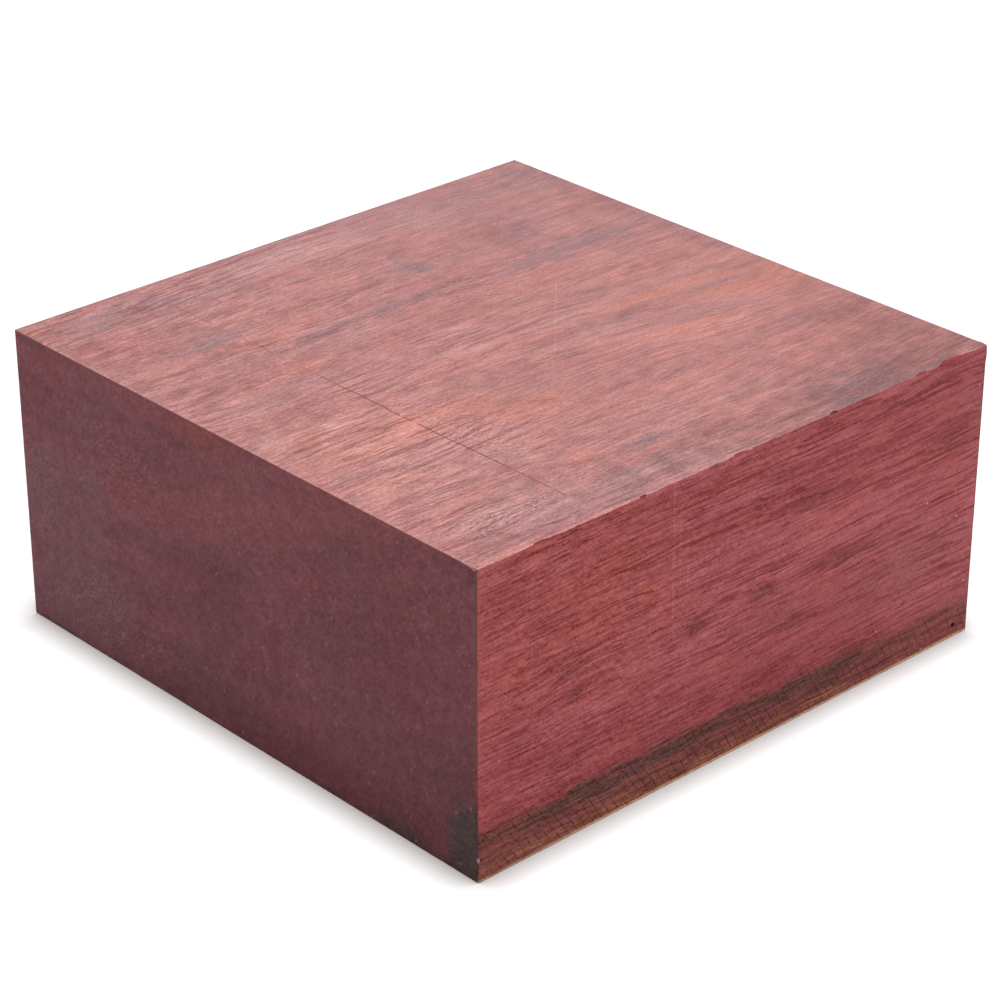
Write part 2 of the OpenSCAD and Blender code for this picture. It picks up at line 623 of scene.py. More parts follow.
class SawnFace(Finish):
    """A long-grain face straight from the saw, with the band of dark wood under the heartwood."""

    name = "sawn_long_grain"
    specular = 0.15
    palette = SawnPalette()
    hatch_pitch = 1.7
    tooth_pitch = 1.96
    tooth_curve = 0.0012
    warm = (
        Blot(-50, 20, 64, 40, 0.7), Blot(-41, 10, 26, 12, 0.9), Blot(-28, 12, 12, 14, 0.8),
        Blot(-66, 10, 18, 12, 0.8),
    )
    dark = (
        Blot(-14.5, 0, 13, 5), Blot(7, 0, 13, 6, 0.9), Blot(-50, -2, 11, 4, 0.8),
        Blot(-49, -17, 10, 3, 0.7), Blot(-51, 4, 14, 5, 0.6), Blot(16, -10, 22, 5), Blot(32, 0, 50, 5, 0.8),
        Blot(20, 17.5, 24, 6, 0.7), Blot(9, 26, 8, 5, 0.5), Blot(66, 15, 18, 6, 0.5),
    )
    light = (
        Blot(77, -8, 26, 70, 0.9), Blot(52, -14, 50, 30, 0.5), Blot(-22, 6, 110, 10, 0.35),
        Blot(-6, 5, 26, 8, 0.4), Blot(46, 9, 60, 15, 0.6), Blot(61, 7, 18, 9, 0.9),
        Blot(71, 24, 10, 10, 0.7), Blot(68, -18, 24, 16, 0.6), Blot(60, -24, 40, 8, 0.4),
        Blot(-68, 1, 12, 6, 0.5), Blot(20, 9, 40, 10, 0.5),
    )
    faded = (
        Blot(74, 22, 16, 30, 0.6), Blot(52, -10, 50, 24, 0.7), Blot(8, -7, 30, 12, 0.5),
        Blot(64, -24, 26, 10, 0.4),
    )
    shadow = (
        Blot(-70, 26, 26, 18, 0.5), Blot(-11, 31, 24, 8, 0.5), Blot(-9, 20, 20, 8, 0.5),
        Blot(18, 19, 24, 6, 0.3), Blot(66, 17, 20, 12, 0.7), Blot(65, 31, 18, 11, 0.6),
        Blot(-68, -6, 18, 16, 0.5), Blot(-6, -19, 90, 10, 0.45), Blot(-57, 17, 20, 8, 0.5),
        Blot(2, -6, 30, 12, 0.4),
    )
    rim = (Blot(30, -27, 30, 5, 0.5), Blot(-18, -27, 60, 4, 0.4))
    crumbs = (Blot(60, 34.6, 7, 2.4), Blot(50, 35.2, 12, 2.4, 0.8), Blot(-14, 35, 20, 3, 0.4))
    scratches = (
        Scratch((-22, 36), (-21.4, -1), 0.45, 0.22), Scratch((-20, 30), (-19.6, 4), 0.35, 0.14),
        Scratch((-17.5, 26), (-17.3, 8), 0.4, 0.12),
    )

    def lay(self) -> tuple[Signal, Signal, Signal]:
        """Lay the sawn face: streaks, patches, pores, the dark band, the tan strip and the saw marks, with
        a painted highlight along the near upright arris and painted shade along the far one.

        Returns:
            Colour, roughness and height.
        """
        sketch, timber, tones, place, along = self.sketch, self.timber, self.palette, self.place, self.along
        streaks, lines = timber["Streaks"], timber["Lines"]
        spot = sketch.joined(*self.from_middle()[::2])
        patch = partial(blot_mask, sketch, spot, streaks.swing(0.9))
        front = self.across.span(-75.0, -75.6)
        veins = lines.span(0.49, 0.62) * timber["Cool"].span(0.35, 0.6, 0.45, 1.0)
        short = sketch.noise(timber["Tree"], (3.4, 0.9, 0.8), 1.0, 0.6, 31.0).span(0.55, 0.68)
        colour = sketch.coats(
            tones.crimson,
            (timber["Layers"].span(0.34, 0.66, 0.0, 0.85), tones.rose),
            (timber["Warm"].span(0.5, 0.66) * along.span(-40.0, 40.0, 0.45, 0.25), tones.russet),
            (patch(self.warm) * front, tones.russet),
            (patch(self.light) * front, tones.rose),
            (patch(self.faded) * front, tones.faded),
            (patch(self.shadow) * front, tones.wine),
            (streaks.span(0.5, 0.72, 0.0, 0.24), tones.deep),
            (patch(self.dark) * front, tones.deep),
            (veins * along.span(-74.0, -64.0, 0.4, 0.64), tones.vein),
            (lines.span(0.46, 0.36, 0.0, 0.4), tones.rose),
            (short * along.span(-74.0, -62.0) * along.span(-62.0, 0.0, 0.42, 0.12), tones.vein),
        )
        marks = self.saw_marks()
        colour, strip = self.lay_band(colour)
        weave = sketch.math("SINE", sketch.parts(timber["Tree"])[2] * (math.tau / self.hatch_pitch))
        hatch = marks.over(weave.span(0.7, 1.0, 0.0, 0.8)) * strip * along.span(-76.0, -58.0, 0.45, 1.0)
        colour = sketch.coats(
            colour,
            (patch(self.rim) * front * streaks.span(0.4, 0.6, 1.0, 0.4), tones.umber),
            (hatch * timber["Mottle"].span(0.35, 0.55, 0.3, 0.75), tones.hatch),
        )
        fine = timber["Fibres"].swing(0.4) + timber["Grit"].swing(0.28)
        fine = fine * along.span(-50.0, 60.0, 1.2, 0.85) + timber["Clouds"].swing(0.06) + 1.0
        specks = sketch.flecks(place, (5.0, 5.0, 5.0), 0.08, 0.45, 3.0) * along.span(-20.0, 40.0, 0.3, 1.0)
        crumbs = sketch.flecks(place, (1.3, 1.3, 1.1), 0.3, 0.4, 6.0) * patch(self.crumbs)
        arris_tint = timber["Grit"].span(0.25, 0.6, 0.5, 1.0)
        scratched = scratch_mask(sketch, spot, self.scratches) * timber["Fibres"].span(0.35, 0.6)
        colour = sketch.coats(
            sketch.shaded(colour, fine - marks * 0.08, 0.09),
            (scratched * front, tones.pale),
            ((specks * 0.9).over(crumbs * 0.8) * front, tones.pale),
            # Painted highlight: a light orange line along the near upright arris.
            (along.span(-75.0, -75.5, 0.0, 0.45) * self.up.span(10.0, 34.0), tones.amber),
            (arris_tint * self.up.span(0.85, 0.3) * along.span(-76.0, -40.0, 0.5, 0.85), tones.cream),
            # Painted shade: a dark plum line along the far upright arris, which faces away from the light.
            (along.span(75.4, 75.7, 0.0, 0.8), tones.plum),
        )
        roughness = timber["Fibres"].span(0.3, 0.7, 0.55, 0.7)
        height = timber["Fibres"].swing(0.03) + timber["Grit"].swing(0.015) - veins * 0.03 - marks * 0.02
        return colour, roughness, height

    def lay_band(self, colour: Signal) -> tuple[Signal, Signal]:
        """Lay the near-black band at the heartwood's rim, and the brown and tan wood beyond it.

        Args:
            colour: Colour of the heartwood.

        Returns:
            The new colour, and how far a place is in the wood beyond the rim.
        """
        sketch, timber, tones, place, along = self.sketch, self.timber, self.palette, self.place, self.along
        lines = timber["Lines"]
        ragged = sketch.noise(place, (17.0, 6.0, 2.2), 2.0, 0.6, 6.0).swing(2.8)
        tongues = sketch.noise(timber["Tree"], (9.0, 1.2, 0.7), 2.0, 0.6, 7.0).swing(3.0)
        far = along.span(28.0, 64.0)
        depth = timber["Beyond"] + ragged + tongues - far * 0.4 - 0.75
        dusk = depth.span(-26.0, -4.0, 0.0, 0.3).over(depth.span(-7.0, 0.0, 0.0, 0.8))
        brown = sketch.coats(
            tones.brown,
            (timber["Streaks"].span(0.42, 0.62), tones.deep),
            (lines.span(0.48, 0.6, 0.0, 0.7), tones.umber),
        )
        tan = sketch.blend(lines.span(0.46, 0.6, 0.0, 0.7), tones.tan, tones.brown)
        outer = (depth + timber["Mottle"].swing(4.0)).span(6.2, 9.2) * along.span(-76.0, -44.0, 0.6, 0.85)
        strip = depth.span(-1.2, 1.6)
        strip = strip + (depth.span(-3.0, 5.0, 0.0, 0.7) - strip) * far
        lenses = sketch.noise(place, (13.0, 6.0, 2.0), 1.0, 0.6, 13.0).span(0.36, 0.58, 0.55, 1.0)
        band = depth.span(-1.0, 1.8) * depth.span(4.8, 1.8) * lenses * lines.span(0.4, 0.54, 0.45, 1.0)
        colour = sketch.coats(
            colour,
            (dusk * far.span(0.0, 1.0, 1.0, 0.25), tones.wine),
            (strip, sketch.blend(outer, brown, tan)),
            (band * along.span(-30.0, 50.0, 0.96, 0.5), tones.umber),
        )
        return colour, strip

    def saw_marks(self) -> Signal:
        """Slanting marks of the saw's teeth, slightly curved and uneven in strength.

        Returns:
            The mask of the marks.
        """
        sketch, place, cosine, sine = self.sketch, self.place, 0.866, 0.5
        run = self.up * cosine - self.along * sine
        wander = sketch.noise(place, (9.0, 9.0, 6.0), 0.0, 0.5, 7.0).swing(0.4)
        slant = self.along * cosine + self.up * sine + run * run * self.tooth_curve + wander
        teeth = sketch.math("SINE", slant * (math.tau / self.tooth_pitch)).span(0.72, 1.0)
        return teeth * sketch.noise(place, (9.0, 9.0, 5.0), 1.0, 0.5, 8.0).span(0.36, 0.6, 0.2, 0.9)


@dataclass(frozen=True)
class TopPalette:
    """Colours of the handled top, sanded once and gone pale and mauve in the air."""

    rose: Tone = Tone(177, 119, 115)
    crimson: Tone = Tone(169, 105, 103)
    salmon: Tone = Tone(197, 123, 107)
    mauve: Tone = Tone(159, 114, 117)
    slate: Tone = Tone(126, 101, 107)
    vein: Tone = Tone(130, 73, 71)
    sheen: Tone = Tone(197, 143, 137)
    pale: Tone = Tone(198, 148, 144)
    shade: Tone = Tone(139, 80, 79)
    bloom: Tone = Tone(226, 204, 202)


class HandledTop(Finish):
    """The broad top face: planed, handled, faded and scratched."""

    name = "handled_top"
    specular = 0.45
    palette = TopPalette()
    patch_strength = 0.8
    cool = (
        Blot(72, 66, 24, 24, 0.5), Blot(-49, 40.5, 18, 9, 0.9), Blot(-47, 49, 4, 14, 0.45, -25),
        Blot(12, 42, 14, 9, 0.7, -20), Blot(12, 49, 4, 12, 0.45, -20), Blot(46, 43, 8, 15, 0.6, -15),
        Blot(-20, 27.5, 66, 5, 0.6), Blot(10, 29, 50, 5, 0.6), Blot(46, 26, 76, 9, 0.6),
        Blot(-15, 9, 5, 16, 0.4), Blot(48, 29, 14, 8, 0.5), Blot(-56, 66, 50, 12, 0.4),
        Blot(-15, -60, 14, 8, 0.6), Blot(40, -68, 28, 14, 0.6), Blot(46, -75, 80, 7, 0.6),
        Blot(54, -12, 44, 2, 0.5, -8), Blot(40, -22, 60, 2, 0.5, -6), Blot(10, -31, 26, 3, 0.5, -14),
    )
    mauve = (
        Blot(-50, -67, 60, 24), Blot(73, 24, 16, 100, 0.5), Blot(-20, 67, 120, 24),
        Blot(0, 72, 170, 20, 0.8), Blot(48, 66, 100, 24), Blot(40, 46, 26, 22, 0.6),
        Blot(0, 41, 130, 9, 0.45), Blot(-40, -69, 100, 20, 0.9), Blot(56, 24, 70, 20, 0.6),
        Blot(-20, 28, 50, 12, 0.4), Blot(20, 22, 40, 22, 0.3), Blot(52, 44, 60, 40, 0.6),
    )
    warm = (
        Blot(-38, -20, 56, 12, 1.0, -6), Blot(-20, -31, 34, 18, 0.8, -12), Blot(36, -24, 60, 5, 0.9, -6),
        Blot(44, -7, 60, 6, 0.9, -7), Blot(58, -16, 50, 4, 0.9, -8), Blot(60, -32, 34, 5, 0.8, -6),
        Blot(-41, 17, 16, 6, 0.9), Blot(56, -50, 30, 5, 0.7), Blot(-28, -55, 12, 8, 0.7),
        Blot(-60, -11, 22, 12, 0.8), Blot(-64, -38, 24, 10, 0.6), Blot(-50, -23, 70, 18, 0.9),
        Blot(72, -16, 40, 40, 0.7), Blot(2, 64, 20, 12, 0.3), Blot(-40, 36, 80, 5, 0.3),
        Blot(24, -44, 50, 8, 0.4),
    )
    red = (
        Blot(-64, 52, 40, 18), Blot(17, 16, 14, 7, 0.6), Blot(-68, 11, 18, 10, 0.7),
        Blot(41, 46, 18, 22, 0.4), Blot(-18, 51, 40, 11, 0.4), Blot(16, 51, 18, 11, 0.5),
        Blot(-62, -26, 14, 10, 0.4), Blot(4, 15, 56, 9, 0.5), Blot(60, -66, 60, 24, 0.6),
    )
    pale = (
        Blot(-56, -10, 10, 8, 0.8), Blot(-9, 0, 16, 10, 0.5), Blot(33, 63, 20, 22, 0.4),
        Blot(-38, -30, 3, 50, 0.5, 3), Blot(-45, -34, 3, 44, 0.4, -3), Blot(-36, -46, 10, 14, 0.4),
        Blot(-60, -62, 34, 14, 0.4), Blot(0, 66, 64, 20, 0.6), Blot(22, -3, 30, 6, 0.35),
        Blot(-54, -32, 60, 50, 0.4), Blot(-22, 52, 40, 10, 0.5), Blot(-66, 10, 24, 20, 0.4),
        Blot(-70, -8, 16, 14, 0.5), Blot(-44, 8, 18, 12, 0.5), Blot(-31, -8, 18, 12, 0.5),
        Blot(-6, 8, 14, 12, 0.5), Blot(-20, 22, 30, 8, 0.4),
    )
    dim = (
        Blot(50, -72, 190, 46), Blot(76, -58, 60, 50, 0.8), Blot(60, -38, 80, 18, 0.6),
        Blot(70, -10, 40, 16, 0.6), Blot(58, 24, 16, 60, 0.4), Blot(44, -52, 54, 16, 0.5),
        Blot(19, -68, 26, 18, 0.6), Blot(76, 40, 24, 100, 0.2),
    )
    dull = (
        Blot(-9, -14, 24, 13, 0.4), Blot(68, -42, 34, 12), Blot(34, -36, 36, 12, 0.4),
        Blot(26, -10, 34, 4, 0.45), Blot(52, -72, 110, 24), Blot(64, -56, 60, 44, 0.6),
        Blot(-2, -36, 44, 6, 0.4, 4), Blot(56, 6, 26, 10, 0.6), Blot(8, 8, 12, 10, 0.4),
        Blot(14, 28, 34, 12, 0.4), Blot(40, 44, 24, 24, 0.5), Blot(52, 26, 60, 10, 0.3),
        Blot(70, -26, 24, 26, 0.5), Blot(74, 40, 16, 90, 0.4), Blot(10, -68, 60, 12, 0.5),
        Blot(-70, -68, 30, 14, 0.5),
    )
    crumbs = (
        Blot(-57, -64, 36, 16, 0.8), Blot(50, -73, 34, 8, 0.25), Blot(14, 26, 34, 22, 0.5),
        Blot(-36, -32, 20, 50, 0.7), Blot(-60, -30, 24, 40, 0.5), Blot(8, -40, 60, 12, 0.4),
    )
    scratches = (
        Scratch((33, 16), (2, -16), 0.35, 0.38), Scratch((35, 13), (16, -8), 0.3, 0.28),
        Scratch((10, 47), (-2, 33), 0.3, 0.35), Scratch((-20, 5), (-15, 7.5), 0.35, 0.4),
    )

    def lay(self) -> tuple[Signal, Signal, Signal]:
        """Lay the top face: streaks, stains, warm patches, dark fibres, scratches and bloom, with painted
        light and shade on raised grain and along the arrises.

        Returns:
            Colour, roughness and height.
        """
        sketch, timber, tones, place = self.sketch, self.timber, self.palette, self.place
        along, across, streaks, lines = self.along, self.across, timber["Streaks"], timber["Lines"]
        spot = sketch.joined(*self.from_middle()[:2])
        patch = partial(blot_mask, sketch, spot, streaks.swing(0.8) + timber["Mottle"].swing(0.5))
        ribbon = along.span(-16.0, 16.0) * across.span(28.0, 8.0) * across.span(-56.0, -40.0)
        clear = along.span(-60.0, 60.0, 1.25, 0.62)
        veins = lines.span(0.5, 0.64) * timber["Clouds"].span(0.4, 0.58, 0.3, 1.0) * clear
        short = sketch.noise(timber["Tree"], (4.4, 0.8, 0.7), 1.0, 0.6, 33.0).span(0.56, 0.68)
        veins = veins.over(short * along.span(-70.0, 0.0, 0.6, 0.2))
        colour = sketch.coats(
            tones.rose,
            (timber["Layers"].span(0.38, 0.64, 0.15, 0.65), tones.crimson),
            (timber["Warm"].span(0.5, 0.7, 0.0, 0.3), tones.salmon),
            (timber["Cool"].span(0.5, 0.68, 0.0, 0.35), tones.mauve),
            *((patch(blots) * self.patch_strength, tone) for blots, tone in (
                (self.red, tones.crimson), (self.mauve, tones.mauve), (self.warm, tones.salmon),
                (self.pale, tones.pale), (self.dull, tones.shade), (self.cool, tones.slate),
            )),
            (ribbon * streaks.span(0.52, 0.4, 0.0, 0.28), tones.salmon),
            (ribbon * streaks.span(0.55, 0.66, 0.0, 0.45), tones.slate),
            (veins * 0.57, tones.vein),
            (lines.span(0.46, 0.34, 0.0, 0.24) * clear, tones.sheen),
        )
        broad = streaks.swing(0.05) + timber["Mottle"].swing(0.34)
        broad = broad + sketch.noise(place, (5.0, 4.4, 4.0), 3.0, 0.6, 21.0).swing(0.16)
        dim = patch(self.dim) * -0.22
        colour = sketch.shaded(colour, broad * clear + timber["Clouds"].swing(0.22) + dim + 1.0)
        crumbs = patch(self.crumbs)
        # Painted light and shade of raised grain in the crumbly patches, which also lifts the bump.
        raised_with_painted_light = self.raised_with_painted_light(place, (1.1, 0.8, 0.8), (0.1, 0.35, 0.0)) * crumbs.span(0.0, 1.0, 0.14, 0.5)
        fine = (timber["Fibres"].swing(0.2) + timber["Grit"].swing(0.22)) * clear + raised_with_painted_light + 1.0
        specks = sketch.flecks(place, (1.3, 0.9, 2.0), 0.3, 0.5, 1.0) * crumbs.span(0.2, 0.8)
        # Painted highlight with some wear: the front and near-end arrises of the top turn pale.
        arris_tint = timber["Arris"].span(1.0, 0.2) * timber["Grit"].span(0.3, 0.7, 0.2, 1.0)
        arris_tint = arris_tint * across.span(70.0, 60.0, 0.0, 1.0) * along.span(-64.0, -40.0, 0.6, 0.15)
        colour = sketch.coats(
            sketch.shaded(colour, fine, 0.2),
            (scratch_mask(sketch, spot, self.scratches) * timber["Fibres"].span(0.35, 0.6), tones.pale),
            (specks * 0.62, tones.bloom),
            (arris_tint, tones.pale),
            # Painted shade: a dark line along the far and back arrises of the top.
            (along.over(across).span(75.4, 75.7, 0.0, 0.6), tones.vein),
        )
        height = timber["Fibres"].swing(0.03) + timber["Grit"].swing(0.02) - veins * 0.03 + raised_with_painted_light * 0.03
        return colour, streaks.span(0.3, 0.7, 0.44, 0.6), height


@dataclass(frozen=True)
class WaxPalette:
    """Colours of end grain under thin wax."""

    plum: Tone = Tone(114, 64, 70)
    wine: Tone = Tone(133, 73, 79)
    mauve: Tone = Tone(121, 75, 82)
    soot: Tone = Tone(66, 52, 50)
    bark: Tone = Tone(96, 48, 53)
    grime: Tone = Tone(104, 75, 69)
    bloom: Tone = Tone(158, 126, 128)
    rust: Tone = Tone(138, 73, 70)


class WaxedEnd(Finish):
    """An end-grain face sealed with thin wax."""

    name = "waxed_end_grain"
    specular = 0.12
    palette = WaxPalette()
    mauve = (
        Blot(-74, -26, 26, 40, 0.9), Blot(-70, 34, 14, 14, 0.5), Blot(-60, -14, 46, 64, 0.9, 0, 0.6),
        Blot(-54, 20, 34, 12, 0.5), Blot(12, 7, 26, 16, 0.3),
    )
    rosy = (
        Blot(0, 20, 104, 12, 0.9, 20), Blot(-18, 34, 130, 10, 0.8), Blot(-64, 30, 40, 18, 0.8),
        Blot(62, 12, 50, 50, 0.5), Blot(-24, 12, 30, 12, 0.6, 20),
    )
    rust = (Blot(33, 35, 22, 5, 0.6), Blot(-10, 34, 34, 12, 0.6), Blot(76, 0, 6, 70, 0.6))
    purple = (
        Blot(50, 4, 80, 70, 0.35), Blot(-6, -2, 34, 20, 0.6, 20), Blot(14, -12, 20, 16, 0.4),
        Blot(-28, 22, 20, 10, 0.3), Blot(16, -30, 130, 22, 0.7), Blot(0, -16, 60, 20, 0.4),
    )
    soot = (
        Blot(76, -30, 19, 24, 0.95, 0, 0.4), Blot(72, -38, 16, 16, 0.9, 0, 0.5),
        Blot(53, -35, 22, 7, 0.7, 0, 0.7), Blot(-66, -36, 26, 2.5, 0.4, 0, 0.7),
        Blot(28, -36, 20, 4, 0.4, 0, 0.7), Blot(70, -18, 18, 12, 0.2),
    )
    pitted = (
        Blot(-38, 16, 44, 24), Blot(-40, -24, 60, 24, 0.9), Blot(30, 10, 60, 30, 0.5),
        Blot(60, 22, 30, 24, 0.5), Blot(-66, 0, 20, 60, 0.5),
    )

    def lay(self) -> tuple[Signal, Signal, Signal]:
        """Lay the waxed end: growth layers, clouds, soot stains, pitted grain with painted light and shade,
        flecks of bloom, and painted light towards the back arris.

        Returns:
            Colour, roughness and height.
        """
        sketch, timber, tones, place = self.sketch, self.timber, self.palette, self.place
        clouds, mottle, beyond = timber["Clouds"], timber["Mottle"], timber["Beyond"]
        _, aside, above = self.from_middle()
        spot = sketch.joined(aside * -1.0, above)
        patch = partial(blot_mask, sketch, spot, clouds.swing(0.8))
        rings = sketch.noise(timber["Tree"], (200.0, 60.0, 4.5), 2.0, 0.6, 11.0)
        left = sketch.parts(spot)[0]
        colour = sketch.coats(
            tones.plum,
            (rings.span(0.36, 0.64, 0.0, 0.6), tones.wine),
            (mottle.span(0.46, 0.66, 0.0, 0.28), tones.mauve),
            (beyond.span(-76.0, -67.0) * beyond.span(-56.0, -66.0) * 0.8, tones.wine),
            (patch(self.mauve), tones.mauve),
            (patch(self.rosy), tones.wine),
            (patch(self.rust), tones.rust),
            (patch(self.purple), tones.bark),
            (beyond.span(-34.0, 2.0) * left.span(-76.0, -60.0, 0.3, 0.8), tones.bark),
            (blot_mask(sketch, spot, mottle.swing(0.4), self.soot), tones.soot),
        )
        # Painted light: the end is lightened by up to six per cent within 14 mm of its back upright arris.
        lift = left.span(-76.0, -62.0, 1.06, 1.0)
        colour = sketch.shaded(colour, clouds.swing(0.1) + mottle.swing(0.34) + lift)
        slanted = sketch.mapped(spot, (0.0, 0.0, 0.0), 62.0)
        pitted = patch(self.pitted) * mottle.span(0.35, 0.6, 0.3, 1.0)
        # Painted light and shade of raised grain in the pitted patches, which also lifts the bump.
        raised_with_painted_light = self.raised_with_painted_light(slanted, (1.2, 0.75, 0.8), (0.3, 0.2, 0.0)) * pitted.span(0.0, 1.0, 0.22, 0.66)
        fine = sketch.noise(place, (1.5, 1.1, 1.2), 1.0, 0.65, 12.0).swing(0.25) + raised_with_painted_light + 1.0
        flecks = sketch.flecks(slanted, (1.7, 0.8, 2.0), 0.34, 0.5, 2.0) * pitted.span(0.0, 1.0, 0.15, 1.0)
        flecks = flecks.over(sketch.flecks(slanted, (3.6, 2.4, 3.0), 0.2, 0.5, 11.0) * 0.7)
        arris_tint = timber["Arris"].span(0.8, 0.2) * timber["Grit"].span(0.3, 0.6, 0.4, 1.0)
        colour = sketch.coats(
            sketch.shaded(colour, fine, 0.05),
            (flecks * 0.46, tones.bloom),
            (arris_tint * self.up.span(60.0, 66.0, 0.0, 0.7), tones.rust),
            (self.across.span(-74.8, -75.5, 0.0, 0.6) * self.up.span(20.0, 34.0), tones.grime),
        )
        height = flecks * 0.015 + mottle.swing(0.04) + raised_with_painted_light * 0.02
        return colour, clouds.span(0.3, 0.7, 0.4, 0.55), height


@dataclass(frozen=True)
class TornPalette:
    """Colours of wood that a chip or a cut has opened."""

    deep: Tone = Tone(122, 51, 52)
    rose: Tone = Tone(144, 68, 67)
    ember: Tone = Tone(136, 58, 51)
    vein: Tone = Tone(94, 38, 39)
    line: Tone = Tone(154, 90, 85)
    line_back: Tone = Tone(178, 118, 113)
    line_front: Tone = Tone(174, 110, 105)
    nick: Tone = Tone(160, 132, 124)
    # Painted shade: the near-black wall of the beetle's hole.
    hole: Tone = Tone(74, 38, 34)


class TornWood(Finish):
    """Fresh fibres where a chip or a cut has opened the wood."""

    name = "torn_fibres"
    specular = 0.15
    palette = TornPalette()

    def lay(self) -> tuple[Signal, Signal, Signal]:
        """Lay torn fibres: deep crimson, paler along the scored line, pale in the nick, and near-black in
        the hole as painted shade.

        Returns:
            Colour, roughness and height.
        """
        sketch, timber, tones = self.sketch, self.timber, self.palette
        along, across, fibres = self.along, self.across, timber["Fibres"]
        line = sketch.coats(
            tones.line,
            (across.span(-10.0, 30.0), tones.line_back),
            (across.span(-44.0, -56.0), tones.line_front),
        )
        low_down = self.up.span(13.0, 11.0)
        colour = sketch.coats(
            tones.deep,
            (timber["Streaks"].span(0.4, 0.6), tones.rose),
            (along.span(59.0, 61.0) * along.span(65.5, 63.0) * 0.7, tones.ember),
            (timber["Lines"].span(0.5, 0.64, 0.0, 0.6), tones.vein),
            (across.span(-69.0, -67.0), line),
            (low_down * along.span(-60.0, -62.0), tones.nick),
            # Painted shade: the beetle hole's wall is near-black.
            (low_down * along.span(60.0, 62.0), tones.hole),
        )
        colour = sketch.shaded(colour, fibres.swing(0.5) + 1.0)
        return colour, fibres.span(0.3, 0.7, 0.6, 0.8), fibres.swing(0.06)


# ---- Modelling by hand: selections and small steps ----


class Face(Enum):
    """The six faces of the block, by outward direction."""

    TOP = (0, 0, 1)
    UNDERSIDE = (0, 0, -1)
    FRONT = (0, -1, 0)
    BACK = (0, 1, 0)
    NEAR_END = (-1, 0, 0)
    FAR_END = (1, 0, 0)


class Part(Enum):
    """Which kind of mesh element a selection works on."""

    POINT = 0
    EDGE = 1
    FACE = 2


class Coat(Enum):
    """The finishes of the block, in the order of its material slots."""

    TOP = 0
    SAWN = 1
    END = 2
    TORN = 3


def deselect_everything() -> None:
    """Clear every selection, so that an operator acts only on what is chosen next."""
    bpy.ops.object.select_all(action="DESELECT")


def make_active(piece: bpy.types.Object) -> None:
    """Select one object alone and make it active."""
    deselect_everything()
    piece.select_set(True)
    bpy.context.view_layer.objects.active = piece


def read(elements: bpy.types.bpy_prop_collection, name: str, width: int = 1,
         kind: type = float) -> np.ndarray:
    """Read one value of every element of a mesh.

    Args:
        elements: Its vertices, edges, faces or face corners.
        name: Name of the value.
        width: How many numbers the value has.
        kind: Type of the numbers.

    Returns:
        The values, as rows where each has several numbers.
    """
    values = np.empty(len(elements) * width, dtype=kind)
    elements.foreach_get(name, values)
    return values.reshape(-1, width) if width > 1 else values


def corners_of(piece: bpy.types.Object) -> np.ndarray:
    """Vertex places as rows of X, Y and Z."""
    return read(piece.data.vertices, "co", 3)


def edge_ends(piece: bpy.types.Object) -> tuple[np.ndarray, np.ndarray]:
    """Places of both ends of every edge."""
    places = corners_of(piece)[read(piece.data.edges, "vertices", 2, int)]
    return places[:, 0], places[:, 1]


def face_middles(piece: bpy.types.Object) -> tuple[np.ndarray, np.ndarray]:
    """Middle and outward direction of every face."""
    return read(piece.data.polygons, "center", 3), read(piece.data.polygons, "normal", 3)


@contextmanager
def editing(piece: bpy.types.Object, part: Part = Part.FACE,
            chosen: np.ndarray | None = None) -> Iterator[None]:
    """Edit a mesh with some of it selected, and leave edit mode afterwards.

    Args:
        piece: The mesh object, in object mode.
        part: Whether points, edges or faces are selected.
        chosen: One truth value for each of them, or None for all.

    Yields:
        Nothing: the body's operators act on the selection.
    """
    make_active(piece)
    mesh = piece.data
    bpy.context.tool_settings.mesh_select_mode = tuple(part is kind for kind in Part)
    for kind, elements in zip(Part, (mesh.vertices, mesh.edges, mesh.polygons)):
        mine = chosen if part is kind and chosen is not None else np.zeros(len(elements), dtype=bool)
        elements.foreach_set("select", mine)
    bpy.ops.object.mode_set(mode="EDIT")
    if chosen is None:
        bpy.ops.mesh.select_all(action="SELECT")
    yield
    bpy.ops.object.mode_set(mode="OBJECT")


def settle(piece: bpy.types.Object) -> None:
    """Put an object's place, turn and size into its mesh."""
    make_active(piece)
    bpy.ops.object.transform_apply(location=True, rotation=True, scale=True)


def cut_across(piece: bpy.types.Object, longest: float, cuts: int) -> None:
    """Cut a bar that runs along Y into short lengths, so that it can waver.

    Args:
        piece: The bar.
        longest: Edges that run further than this along Y are cut.
        cuts: Number of cuts.
    """
    starts, ends = edge_ends(piece)
    with editing(piece, Part.EDGE, np.abs(starts - ends)[:, 1] > longest):
        bpy.ops.mesh.subdivide(number_cuts=cuts)


def cloud_texture(name: str, grain: float, contrast: float = 1.0, lift: float = 1.0) -> bpy.types.Texture:
    """A cloudy pattern for pushing a surface about.

    Args:
        name: Name of the pattern.
        grain: Size of its blobs.
        contrast: Strength of light against dark.
        lift: Overall brightness.

    Returns:
        The pattern.
    """
    texture = bpy.data.textures.new(name, "CLOUDS")
    texture.noise_scale = grain
    texture.noise_depth = 3
    texture.contrast = contrast
    texture.intensity = lift
    return texture


